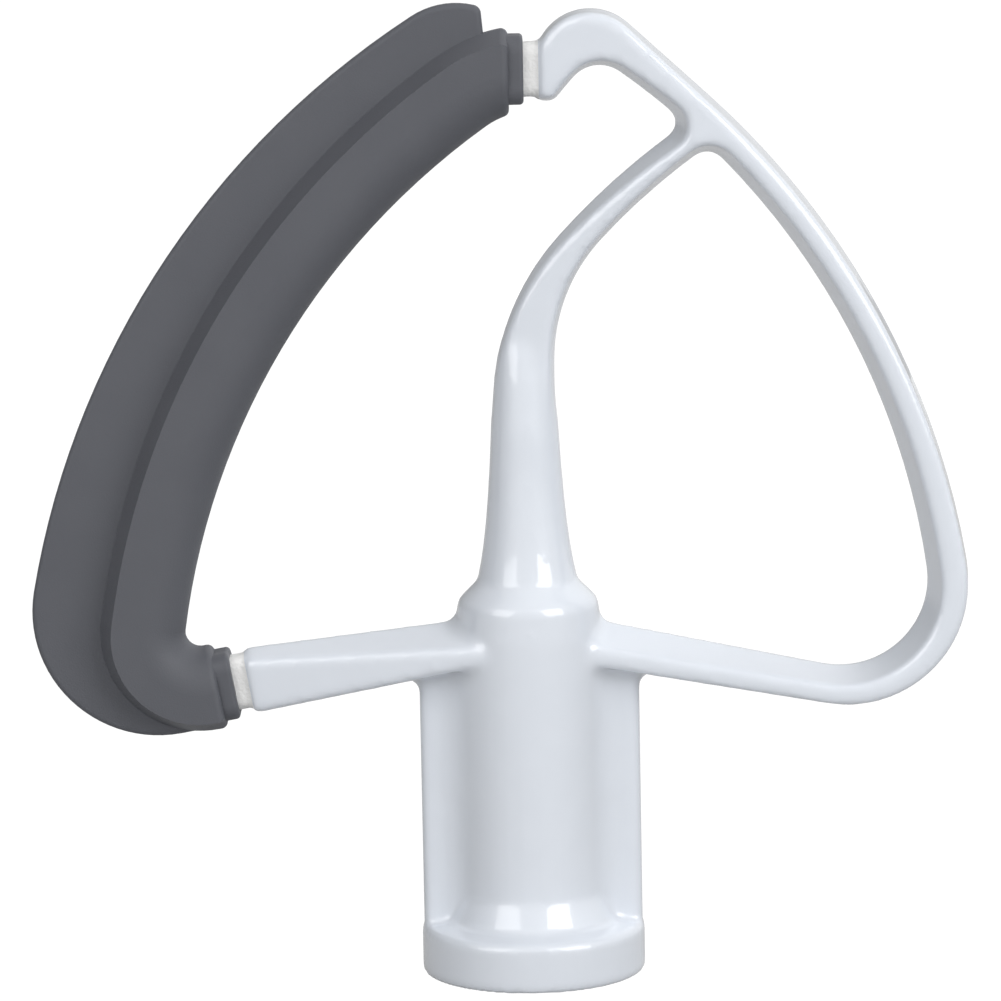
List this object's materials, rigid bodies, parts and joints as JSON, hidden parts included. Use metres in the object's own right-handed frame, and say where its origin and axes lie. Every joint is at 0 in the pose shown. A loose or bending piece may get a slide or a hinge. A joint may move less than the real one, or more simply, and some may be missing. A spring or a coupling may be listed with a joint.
{
  "type": "flat beater",
  "caption": "Flat beater for a stand mixer: coated cast frame with an open loop and curved centre bar, a hub bored for the drive shaft, and a flexible scraper edge along one side.",
  "frame": {"origin": "centre of the collar's end face, at the mouth of the drive bore", "axes": "+Z along the hub from the collar to the tip, +X towards the bare outer bar, +Y towards the side with the bayonet slot"},
  "size_m": [0.1347, 0.032, 0.1404],
  "materials": {
    "coated_casting": "gloss",
    "scraper_silicone": "satin"
  },
  "bodies": {
    "root": {"beater_frame": "coated_casting", "scraper_edge": "scraper_silicone"}
  },
  "joints": []
}
